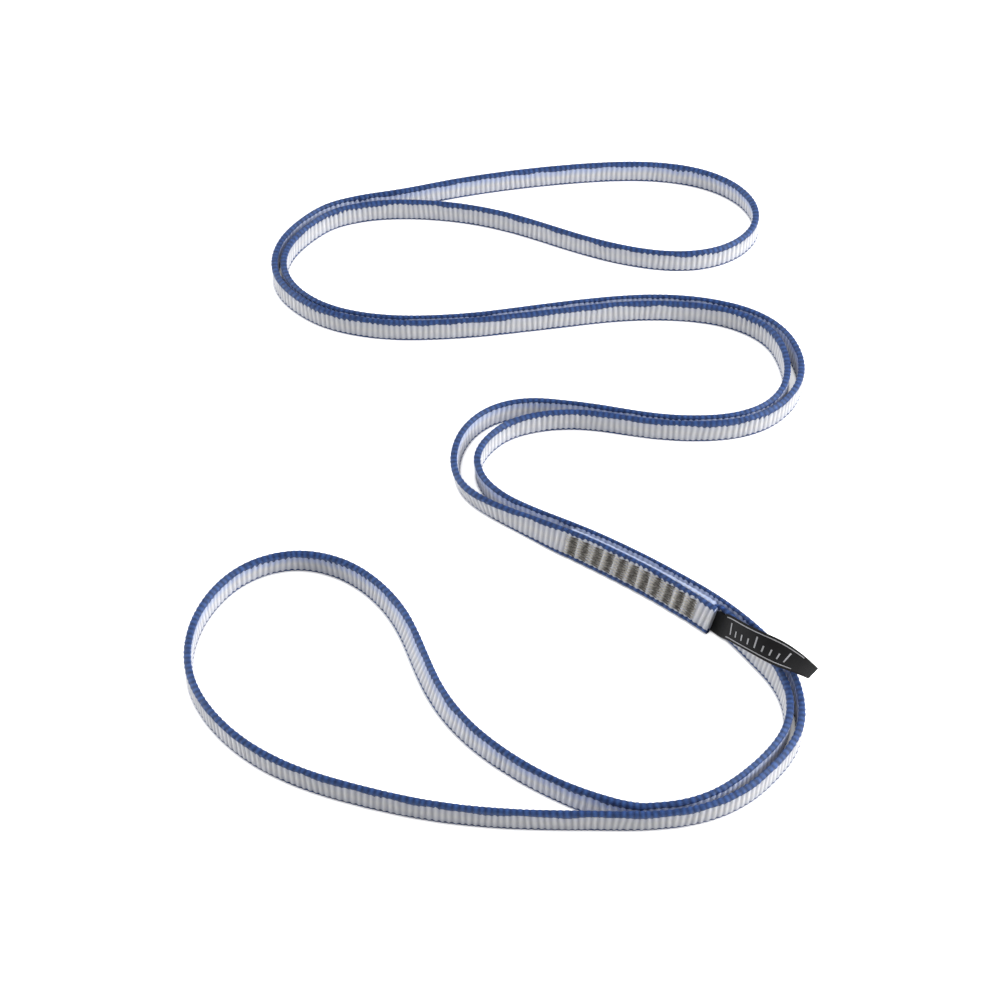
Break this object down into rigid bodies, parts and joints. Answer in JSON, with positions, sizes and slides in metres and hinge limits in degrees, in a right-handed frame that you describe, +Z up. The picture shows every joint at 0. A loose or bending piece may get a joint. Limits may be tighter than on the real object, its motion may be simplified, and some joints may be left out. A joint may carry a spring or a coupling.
{
  "type": "climbing sling",
  "caption": "Long sling of thin flat webbing stood on edge, sewn into one loop with a row of bar tacks, doubled in S curves, with a small label that flaps.",
  "frame": {"origin": "on the surface that the sling stands on, under the middle of its bounding box", "axes": "+Z up, across the webbing's width; +Y runs from the near loop to the far loop, the sling's longest way; +X to the right as the picture shows it"},
  "size_m": [0.2488, 0.3818, 0.019],
  "materials": {
    "webbing": "matte woven tape, white ribbed centre with blue selvedges",
    "tack_thread": "matte grey sewing thread",
    "label": "matte black woven label"
  },
  "bodies": {
    "sling": {"webbing": "webbing", "bar_tack_01": "tack_thread", "bar_tack_02": "tack_thread", "bar_tack_03": "tack_thread", "bar_tack_04": "tack_thread", "bar_tack_05": "tack_thread", "bar_tack_06": "tack_thread", "bar_tack_07": "tack_thread", "bar_tack_08": "tack_thread", "bar_tack_09": "tack_thread", "bar_tack_10": "tack_thread", "bar_tack_11": "tack_thread", "label_root": "label"},
    "label": {"label_tab": "label"}
  },
  "joints": [
    {"name": "label_flap", "type": "hinge", "parent": "sling", "child": "label", "pos_m": [0.07807, -0.0939, 0.00488], "axis": [-0.2808, -0.2757, -0.9193], "range_deg": [0, 90]}
  ]
}
